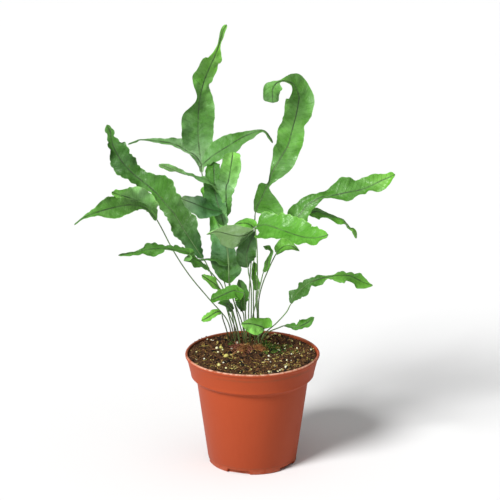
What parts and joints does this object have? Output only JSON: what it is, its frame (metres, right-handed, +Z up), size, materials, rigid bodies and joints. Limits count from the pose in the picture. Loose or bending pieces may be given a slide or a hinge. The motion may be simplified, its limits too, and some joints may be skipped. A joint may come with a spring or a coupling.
{
  "type": "potted fern",
  "caption": "Lobed blue-green fern growing from a crown in a terracotta-coloured plastic nursery pot filled with potting mix.",
  "frame": {"origin": "centre of the pot's underside, on the surface that it stands on", "axes": "+Z up, the plant's front towards -Y, +X to the right seen from the front"},
  "size_m": [0.2506, 0.1186, 0.3546],
  "materials": {
    "pot": "satin",
    "soil": "matte",
    "rhizome": "matte",
    "leaf_bright": "satin",
    "leaf_green": "satin",
    "leaf_blue": "satin"
  },
  "bodies": {
    "root": {"pot": "pot", "soil": "soil", "rhizome": "rhizome", "frond_01": "leaf_green", "frond_02": "leaf_blue", "frond_03": "leaf_blue", "frond_04": "leaf_green", "frond_05": "leaf_bright", "frond_06": "leaf_green", "frond_07": "leaf_blue", "frond_08": "leaf_green", "frond_09": "leaf_green", "frond_10": "leaf_bright", "frond_11": "leaf_green", "frond_12": "leaf_green", "frond_13": "leaf_green", "frond_14": "leaf_bright", "frond_15": "leaf_bright", "frond_16": "leaf_blue", "frond_17": "leaf_blue", "frond_18": "leaf_bright", "frond_19": "leaf_green", "frond_20": "leaf_green", "frond_21": "leaf_green"}
  },
  "joints": []
}
